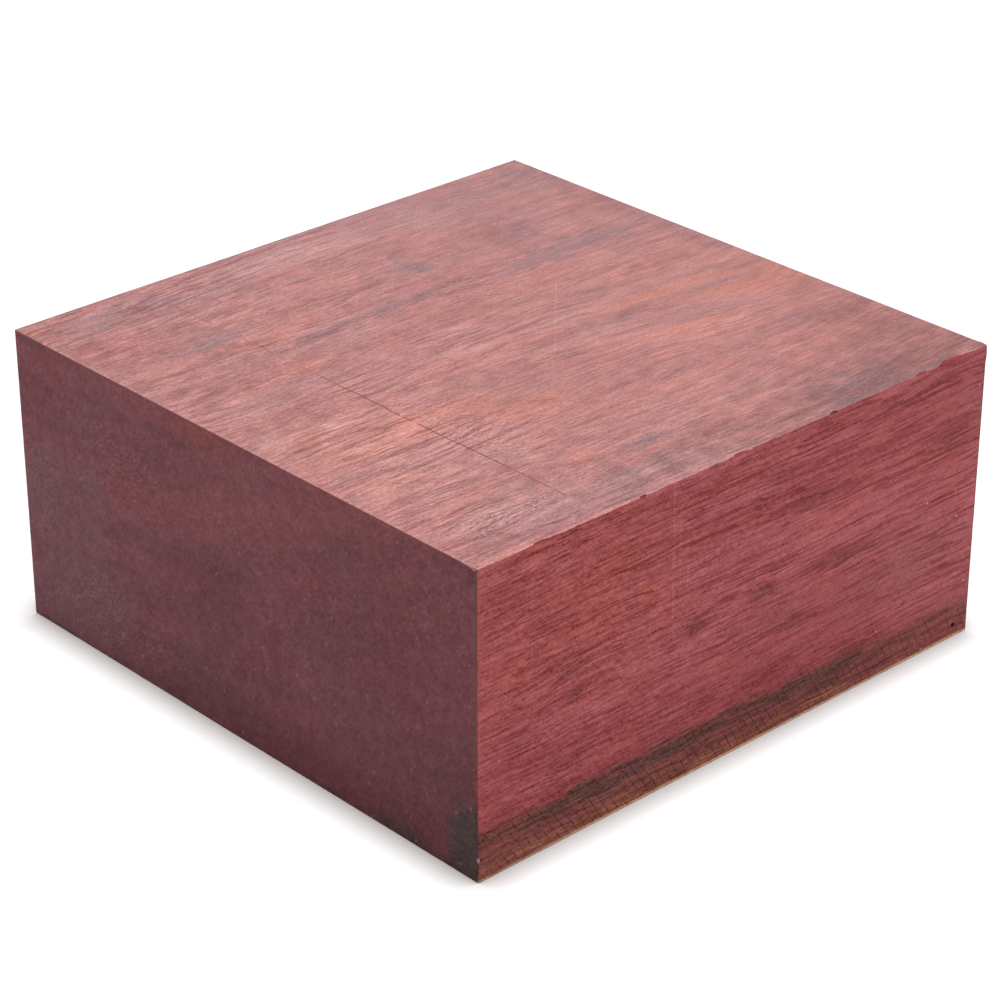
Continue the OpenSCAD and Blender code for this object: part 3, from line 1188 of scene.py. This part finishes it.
def push_about(piece: bpy.types.Object, texture: bpy.types.Texture, reach: float, middle: float = 0.5,
               direction: str = "NORMAL", group: str = "") -> None:
    """Displace a mesh by a pattern and apply the change.

    Args:
        piece: The mesh object.
        texture: The pattern, laid by the object's own places.
        reach: Push where the pattern is one above the middle.
        middle: Value of the pattern that moves nothing.
        direction: NORMAL, X, Y or Z.
        group: Vertex group that limits the push.
    """
    make_active(piece)
    modifier = piece.modifiers.new("push", "DISPLACE")
    modifier.texture = texture
    modifier.texture_coords = "LOCAL"
    modifier.strength = reach
    modifier.mid_level = middle
    modifier.direction = direction
    modifier.vertex_group = group
    bpy.ops.object.modifier_apply(modifier=modifier.name)


# ---- What wear and tools have taken out of the block ----


@dataclass(frozen=True)
class Scoop:
    """Wood torn out of an arris. Millimetres; the place is on the arris."""

    place: tuple[float, float, float]
    along: tuple[float, float, float]
    outward: tuple[float, float, float]
    length: float
    depth: float
    broad: float = 1.0


@dataclass
class LostWood:
    """Shapes that are cut out of the block: torn scoops, the scored line and the beetle's hole.

    Millimetres. The tear-out and the nick have a place along their arris, a length and a depth; a pattern
    that pushes a shape about has the size of its blobs and its reach.
    """

    low: Vector
    high: Vector
    coat: bpy.types.Material
    tearout: tuple[float, float, float] = (12.0, 10.0, 0.8)
    tearout_broad: float = 1.3
    chip_count: int = 5
    chip_start: float = 17.0
    chip_length: float = 5.0
    chip_depth: float = 0.5
    nick: tuple[float, float, float] = (5.5, 1.3, 0.5)
    roughness: tuple[float, float] = (0.35, 0.35)
    line_from_end: float = 34.0
    line_margins: tuple[float, float] = (11.0, 12.5)
    line_depth: float = 0.18
    line_breadth: float = 1.6
    line_cuts: int = 110
    unsteady_hand: tuple[float, float] = (14.0, 1.2)
    skipping_point: tuple[float, float] = (5.0, 0.48)
    pinhole: tuple[float, float] = (1.2, 9.0)
    pinhole_place: tuple[float, float] = (5.0, 3.1)
    pinhole_sides: int = 24
    pinhole_cuts: int = 8
    gnawed_wall: tuple[float, float] = (0.8, 0.12)

    def scoops(self) -> list[Scoop]:
        """List the torn places.

        Returns:
            The big tear-out and the small chips in the front top arris, and the nick in the upright one.
        """
        near, far = self.low.x / MM, self.high.x / MM
        front, top = self.low.y / MM, self.high.z / MM
        grain, outward = (1, 0, 0), (0.0, -1.0, 1.0)
        from_end, length, depth = self.tearout
        found = [Scoop((far - from_end, front, top), grain, outward, length, depth, self.tearout_broad)]
        first, last = near + self.chip_start, far - from_end - length
        for index in range(self.chip_count):
            along = first + (last - first) * index / (self.chip_count - 1)
            long = self.chip_length * (1.0 if index % 2 == 0 else 0.5)
            found.append(Scoop((along, front, top), grain, outward, long, self.chip_depth))
        height, length, depth = self.nick
        found.append(Scoop((near, front, self.low.z / MM + height), (0, 0, 1), (-1, -1, 0), length, depth))
        return found

    def build(self) -> bpy.types.Object:
        """Model every shape and join them.

        Returns:
            One object that holds them all.
        """
        torn = cloud_texture("torn wood", self.roughness[0])
        shapes = [self.scoop(scoop, torn, index) for index, scoop in enumerate(self.scoops())]
        shapes += [self.scored_line(), self.beetle_hole()]
        make_active(shapes[0])
        for shape in shapes:
            shape.select_set(True)
        bpy.ops.object.join()
        lost = bpy.context.object
        lost.data.materials.append(self.coat)
        return lost

    def scoop(self, scoop: Scoop, torn: bpy.types.Texture, seed: int) -> bpy.types.Object:
        """Model one torn scoop: a rough ball, drawn out along the grain and sunk into the arris.

        Args:
            scoop: Its place and size.
            torn: Pattern of its roughness.
            seed: Picks another part of the pattern.

        Returns:
            The shape.
        """
        deselect_everything()
        bpy.ops.mesh.primitive_ico_sphere_add(subdivisions=5, radius=1.0, location=(seed * 3.0, 0.0, 0.0))
        ball = bpy.context.object
        settle(ball)
        push_about(ball, torn, self.roughness[1])
        bpy.ops.object.origin_set(type="ORIGIN_GEOMETRY", center="MEDIAN")
        outward = Vector(scoop.outward).normalized()
        along = Vector(scoop.along)
        turn = Matrix((along, outward.cross(along), outward)).transposed()
        ball.location = (Vector(scoop.place) + outward * scoop.depth * 1.5) * MM
        ball.rotation_euler = turn.to_euler()
        ball.scale = Vector((scoop.length / 1.6, scoop.depth * 2.4 * scoop.broad, scoop.depth * 2.5)) * MM
        settle(ball)
        return ball

    @staticmethod
    def bar(sides: int, radius: float, depth: float, place: tuple) -> bpy.types.Object:
        """Add a bar that runs along Y. Metres.

        Args:
            sides: Number of its sides.
            radius: Its radius.
            depth: Its length.
            place: Its middle.

        Returns:
            The bar.
        """
        deselect_everything()
        lying = (math.radians(90.0), 0.0, 0.0)
        bpy.ops.mesh.primitive_cylinder_add(
            vertices=sides, radius=radius, depth=depth, rotation=lying, location=place
        )
        return bpy.context.object

    def scored_line(self) -> bpy.types.Object:
        """Model the layout line: a long V that wavers a little and skips at places.

        Returns:
            The shape.
        """
        front, back = self.line_margins
        first, last = self.low.y + front * MM, self.high.y - back * MM
        radius = self.line_depth * 0.93 * MM
        along, height = self.low.x + self.line_from_end * MM, self.high.z - self.line_depth * MM + radius
        line = self.bar(3, radius, last - first, (along, (first + last) / 2, height))
        bpy.ops.transform.resize(value=(self.line_breadth, 1.0, 1.0))
        settle(line)
        cut_across(line, 0.05, self.line_cuts)
        for name, (grain, reach), direction in (
            ("unsteady hand", self.unsteady_hand, "X"), ("skipping point", self.skipping_point, "Z")
        ):
            push_about(line, cloud_texture(name, grain * MM), reach * MM, 0.5, direction)
        return line

    def beetle_hole(self) -> bpy.types.Object:
        """Model the beetle's round hole in the front face.

        Returns:
            The shape.
        """
        width, depth = (part * MM for part in self.pinhole)
        from_end, height = (part * MM for part in self.pinhole_place)
        place = (self.high.x - from_end, self.low.y + (depth - MM) / 2, self.low.z + height)
        hole = self.bar(self.pinhole_sides, width / 2, depth + MM, place)
        settle(hole)
        cut_across(hole, 0.005, self.pinhole_cuts)
        grain, reach = self.gnawed_wall
        push_about(hole, cloud_texture("gnawed wall", grain * MM), reach * MM)
        return hole


# ---- The block ----


@dataclass
class TurningBlank:
    """The block of wood, with the wear and tool marks that have real depth. Metres."""

    low: Vector
    high: Vector
    coats: dict[Coat, bpy.types.Material]
    ease: float = 0.3 * MM
    edge_loops: tuple[float, ...] = (0.9 * MM, 1.7 * MM, 3.0 * MM)
    cells: tuple[int, int, int] = (180, 108, 50)
    knock_reach: Vector = field(default_factory=lambda: Vector((2.2, 4.8, 5.2)) * MM)
    knock_rounding: int = 120
    wear_width: float = 1.3 * MM
    wear_depth: float = 0.4 * MM
    wear_elsewhere: float = 0.15
    wear_steps: int = 10
    nibble_size: float = 4.0 * MM
    warp_depth: float = 0.1 * MM
    warp_size: float = 45.0 * MM
    smooth_angle: float = 38.0
    gutter: float = 2.0 * MM
    bake_map: str = "OFBake"
    name: str = "blank_block"

    def build(self) -> bpy.types.Object:
        """Model the block from a cube and dress it.

        Returns:
            The finished piece.
        """
        block = self.sawn_block()
        self.ease_arrises(block)
        self.knock_corner(block)
        self.wear(block)
        self.dress(block)
        self.cut_out(block, LostWood(self.low, self.high, self.coats[Coat.TORN]).build())
        self.lay_bake_map(block)
        make_active(block)
        bpy.ops.object.shade_smooth_by_angle(angle=math.radians(self.smooth_angle))
        LOG.info("%s: %d faces", self.name, len(block.data.polygons))
        return block

    def sawn_block(self) -> bpy.types.Object:
        """Bring a cube to size, score it near its arrises and cut it into a fine grid of faces.

        Returns:
            The block.
        """
        deselect_everything()
        bpy.ops.mesh.primitive_cube_add(size=1.0)
        block = bpy.context.object
        block.name = self.name
        block.scale = self.high - self.low
        block.location = (self.low + self.high) / 2
        settle(block)
        with editing(block):
            for axis in range(3):
                direction = Vector((axis == 0, axis == 1, axis == 2))
                for gap in self.edge_loops:
                    for place in (self.low[axis] + gap, self.high[axis] - gap):
                        bpy.ops.mesh.select_all(action="SELECT")
                        bpy.ops.mesh.bisect(plane_co=direction * place, plane_no=direction)
        for axis, cells in enumerate(self.cells):
            first, last = edge_ends(block)
            run = np.abs(last - first)
            straight = (run[:, axis] > run.sum(1) * 0.99) & (run[:, axis] > 4 * self.edge_loops[-1])
            with editing(block, Part.EDGE, straight):
                bpy.ops.mesh.subdivide(number_cuts=cells - 1)
        return block

    def ease_arrises(self, block: bpy.types.Object) -> None:
        """Round the twelve arrises a little, as handling does.

        Args:
            block: The block, square and sharp.
        """
        first, last = edge_ends(block)
        middle = (first + last) / 2
        gap = np.minimum(np.abs(middle - np.array(self.low)), np.abs(middle - np.array(self.high)))
        with editing(block, Part.EDGE, (gap < 1e-6).sum(1) >= 2):
            bpy.ops.mesh.bevel(offset=self.ease, segments=3, affect="EDGES")

    def knocked(self, places: np.ndarray) -> np.ndarray:
        """How far places are from the knocked corner, as a share of the knock's reach each way."""
        corner = np.array((self.low.x, self.low.y, self.high.z))
        return np.linalg.norm((places - corner) / np.array(self.knock_reach), axis=1)

    def knock_corner(self, block: bpy.types.Object) -> None:
        """Crush the knocked corner round, most of all on the end grain.

        Args:
            block: The block.
        """
        for share in (1.6, 1.15):
            with editing(block, Part.FACE, self.knocked(face_middles(block)[0]) < share):
                bpy.ops.mesh.subdivide(number_cuts=1)
        with editing(block, Part.POINT, self.knocked(corners_of(block)) < 1.0):
            bpy.ops.mesh.vertices_smooth(factor=0.5, repeat=self.knock_rounding)

    def wear(self, block: bpy.types.Object) -> None:
        """Nibble the arrises, most of all the front top one, and let the faces wander from flat.

        Args:
            block: The block.
        """
        places = corners_of(block)
        gaps = np.sort(np.minimum(places - np.array(self.low), np.array(self.high) - places), axis=1)
        weight = np.clip(1.0 - gaps[:, 1] / self.wear_width, 0.0, 1.0)
        reach = self.edge_loops[-1]
        front_top = (places[:, 1] < self.low.y + reach) & (places[:, 2] > self.high.z - reach)
        weight = weight * np.where(front_top, 1.0, self.wear_elsewhere)
        group = block.vertex_groups.new(name="arrises")
        level = np.round(weight * self.wear_steps).astype(int)
        for step in range(1, self.wear_steps + 1):
            group.add(np.flatnonzero(level == step).tolist(), step / self.wear_steps, "REPLACE")
        nibbles = cloud_texture("nibbles", self.nibble_size, 2.5, 0.6)
        push_about(block, nibbles, -self.wear_depth, 0.0, "NORMAL", group.name)
        push_about(block, cloud_texture("seasoning", self.warp_size), -self.warp_depth, 0.0)
        block.vertex_groups.clear()
        inside = np.clip(corners_of(block), np.array(self.low), np.array(self.high))
        block.data.vertices.foreach_set("co", inside.ravel())
        block.data.update()

    def dress(self, block: bpy.types.Object) -> None:
        """Give each face its coat by the way that it faces.

        Args:
            block: The block.
        """
        for coat in Coat:
            block.data.materials.append(self.coats[coat])
        middles, normals = face_middles(block)
        slots = np.full(len(normals), Coat.SAWN.value, dtype=np.int32)
        slots[np.abs(normals[:, 0]) > 0.72] = Coat.END.value
        slots[normals[:, 2] > 0.68] = Coat.TOP.value
        crushed = (self.knocked(middles) < 1.1) & (normals[:, 2] > 0.35) & (normals[:, 1] > -0.8)
        slots[crushed] = Coat.TOP.value
        block.data.polygons.foreach_set("material_index", slots)

    def cut_out(self, block: bpy.types.Object, lost: bpy.types.Object) -> None:
        """Take the lost wood out of the block and clean the cut edges.

        Args:
            block: The block.
            lost: The shapes to take out; they are used up.
        """
        make_active(block)
        modifier = block.modifiers.new("lost wood", "BOOLEAN")
        modifier.operation = "DIFFERENCE"
        modifier.solver = "EXACT"
        modifier.material_mode = "TRANSFER"
        modifier.object = lost
        bpy.ops.object.modifier_apply(modifier=modifier.name)
        make_active(lost)
        bpy.ops.object.delete()
        with editing(block):
            bpy.ops.mesh.remove_doubles(threshold=0.002 * MM)

    def lay_bake_map(self, block: bpy.types.Object) -> None:
        """Lay the six faces flat side by side in one square map, at one scale.

        The top and the underside fill one row, and the four edges of the block fill the two rows
        above it, so that the square is nearly full. The beetle's hole goes in the margin above them.

        Args:
            block: The block, with its lost wood taken out.
        """
        size = self.high - self.low
        width, thick, gutter = max(size.x, size.y), size.z, self.gutter
        side = max(2 * width + 3 * gutter, width + 2 * thick + 8 * gutter)
        edge_row, end_row = width + gutter, width + thick + 2 * gutter
        corners = {
            Face.TOP: (0, 0.0), Face.UNDERSIDE: (1, 0.0),
            Face.FRONT: (0, edge_row), Face.BACK: (1, edge_row),
            Face.NEAR_END: (0, end_row), Face.FAR_END: (1, end_row),
        }
        mesh = block.data
        layer = mesh.uv_layers.new(name=self.bake_map)
        middles, normals = face_middles(block)
        axis_of = (np.abs(normals) / np.array([1.0, 1.001, 1.002])).argmax(1)
        sign_of = np.sign(normals[np.arange(len(normals)), axis_of])
        torn = read(mesh.polygons, "material_index", kind=int) == Coat.TORN.value
        on_top = torn & (middles[:, 2] > self.high.z - self.edge_loops[-1])
        on_front = torn & ~on_top
        axis_of[on_top], sign_of[on_top] = 2, 1
        axis_of[on_front], sign_of[on_front] = 1, -1
        face_of = np.repeat(np.arange(len(normals)), read(mesh.polygons, "loop_total", kind=int))
        places = corners_of(block)[read(mesh.loops, "vertex_index", kind=int)] - np.array(self.low)
        flat = np.zeros((len(places), 2))
        for face, (column, row) in corners.items():
            axis = int(np.argmax(np.abs(face.value)))
            mine = (axis_of[face_of] == axis) & (sign_of[face_of] == face.value[axis])
            across, up = [(1, 2), (0, 2), (0, 1)][axis]
            flat[mine, 0] = places[mine, across] + column * (width + gutter)
            flat[mine, 1] = places[mine, up] + row
        self.unroll_hole(flat, places, (on_front & (middles[:, 0] > 0))[face_of], side - 6 * gutter)
        flat = (flat + gutter) / side
        layer.data.foreach_set("uv", flat.astype(np.float32).ravel())

    def unroll_hole(self, flat: np.ndarray, places: np.ndarray, mine: np.ndarray, row: float) -> None:
        """Unroll the wall of the beetle's hole into the margin of the map.

        Args:
            flat: Places in the map, one for each face corner, changed in place.
            places: Places in the block, from its low corner.
            mine: Which face corners belong to the hole.
            row: Where the margin starts.
        """
        hole = places[mine]
        centre = hole.mean(0)
        turn = np.arctan2(hole[:, 2] - centre[2], hole[:, 0] - centre[0])
        flat[mine, 0] = hole[:, 1] * 2
        flat[mine, 1] = row + (turn + math.pi) * MM


# ---- The studio ----


@dataclass
class Studio:
    """A plain white table under soft light, and the camera. Metres, degrees and watts."""

    middle: Vector
    lens: float = 115.0
    distance: float = 0.7212
    azimuth: float = -42.86
    elevation: float = 27.34
    aim_offset: Vector = field(default_factory=lambda: Vector((-1.0, -1.6, -3.6)) * MM)
    floor_width: float = 8.0
    floor_grey: tuple[float, float] = (0.82, 0.22)
    # Reach and depth of the painted contact shadow on the table.
    contact_reach: float = 8.5 * MM
    contact_shade: float = 1.2
    sky_strength: float = 0.5
    lamp_place: tuple[float, float, float] = (0.12, -0.35, 1.0)
    lamp_size: float = 0.9
    lamp_power: float = 9.0

    def set_up(self) -> None:
        """Make the floor, the light and the camera."""
        self.lay_floor()
        self.light_world()
        self.hang_lamp()
        self.place_camera()
        bpy.context.scene.view_settings.view_transform = "Standard"

    def lay_floor(self) -> None:
        """A wide white table that the camera sees as white. Its matt part keeps some of the block's real
        shadow; the glow that the camera sees carries a painted contact shadow and painted pink bounce light
        near the block's foot.
        """
        deselect_everything()
        bpy.ops.mesh.primitive_plane_add(size=self.floor_width)
        floor = bpy.context.object
        floor.name = "table"
        material = bpy.data.materials.new("white_table")
        sketch = sketch_of(material)
        seen = self.seen_rays(sketch)
        grey = seen.span(0.0, 1.0, *self.floor_grey)
        matt = sketch.wired("ShaderNodeBsdfDiffuse", {"Color": sketch.joined(grey, grey, grey)})
        # Painted contact shadow: ambient occlusion near the block darkens the glow that the camera sees.
        nearness = {"Distance": self.contact_reach}
        openness = sketch.wired("ShaderNodeAmbientOcclusion", nearness, "AO", samples=4)
        shade = (openness - 1.0) * self.contact_shade + 0.95
        # Painted bounce light: the glow turns pink close to the block, as if lit by the wood.
        painted_bounce_tint = sketch.blend(openness.span(0.85, 0.5), (1.0, 0.99, 0.99, 1.0), (1.0, 0.84, 0.79, 1.0))
        glow = sketch.wired("ShaderNodeEmission", {"Color": painted_bounce_tint, "Strength": seen * shade})
        sketch.surface("ShaderNodeOutputMaterial", sketch.wired("ShaderNodeAddShader", {0: matt, 1: glow}))
        floor.data.materials.append(material)

    @staticmethod
    def seen_rays(sketch: Sketch) -> Signal:
        """One for rays that show the background: from the camera, or in a reflection."""
        camera, glossy, through = (
            sketch.wired("ShaderNodeLightPath", {}, f"Is {kind} Ray")
            for kind in ("Camera", "Glossy", "Transmission")
        )
        return camera.over(glossy).over(through)

    def light_world(self) -> None:
        """Soft light from all round, and a white background."""
        world = bpy.data.worlds.new("studio")
        bpy.context.scene.world = world
        sketch = sketch_of(world)
        strength = self.seen_rays(sketch).span(0.0, 1.0, self.sky_strength, 1.0)
        inputs = {"Color": (1.0, 1.0, 1.0, 1.0), "Strength": strength}
        sketch.surface("ShaderNodeOutputWorld", sketch.wired("ShaderNodeBackground", inputs))

    def hang_lamp(self) -> None:
        """Hang a square soft lamp that shines at the block."""
        lamp = bpy.data.lights.new("softbox", "AREA")
        lamp.shape = "SQUARE"
        lamp.size = self.lamp_size
        lamp.energy = self.lamp_power
        holder = bpy.data.objects.new("softbox", lamp)
        bpy.context.scene.collection.objects.link(holder)
        holder.location = self.lamp_place
        holder.rotation_euler = (-holder.location).to_track_quat("-Z", "Y").to_euler()

    def place_camera(self) -> None:
        """Stand the camera in front of the near upright arris, looking down at the block."""
        data = bpy.data.cameras.new("camera")
        data.lens = self.lens
        data.clip_start = 0.01
        camera = bpy.data.objects.new("camera", data)
        bpy.context.scene.collection.objects.link(camera)
        turn, rise = math.radians(self.azimuth), math.radians(self.elevation)
        toward = Vector((math.sin(turn) * math.cos(rise), -math.cos(turn) * math.cos(rise), math.sin(rise)))
        camera.location = self.middle + self.aim_offset + toward * self.distance
        camera.rotation_euler = toward.to_track_quat("Z", "Y").to_euler()
        bpy.context.scene.camera = camera


# ---- The whole ----


def main() -> None:
    """Load the frame, build the block and the studio, and log the block's face count."""
    logging.basicConfig(level=logging.INFO, format="%(name)s: %(message)s")
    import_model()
    low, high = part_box(NODE)
    middle = (low + high) / 2
    half = tuple((high - low) / 2 / MM)
    figure = Timber(half, middle.z / MM).group()
    kinds = {Coat.TOP: HandledTop, Coat.SAWN: SawnFace, Coat.END: WaxedEnd, Coat.TORN: TornWood}
    coats = {coat: kind(figure, middle.z / MM).laid() for coat, kind in kinds.items()}
    block = TurningBlank(low, high, coats).build()
    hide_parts(NODE)
    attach(block, "root")
    Studio(middle).set_up()
    LOG.info("studio: table, softbox and camera are set up")


if __name__ == "__main__":
    main()
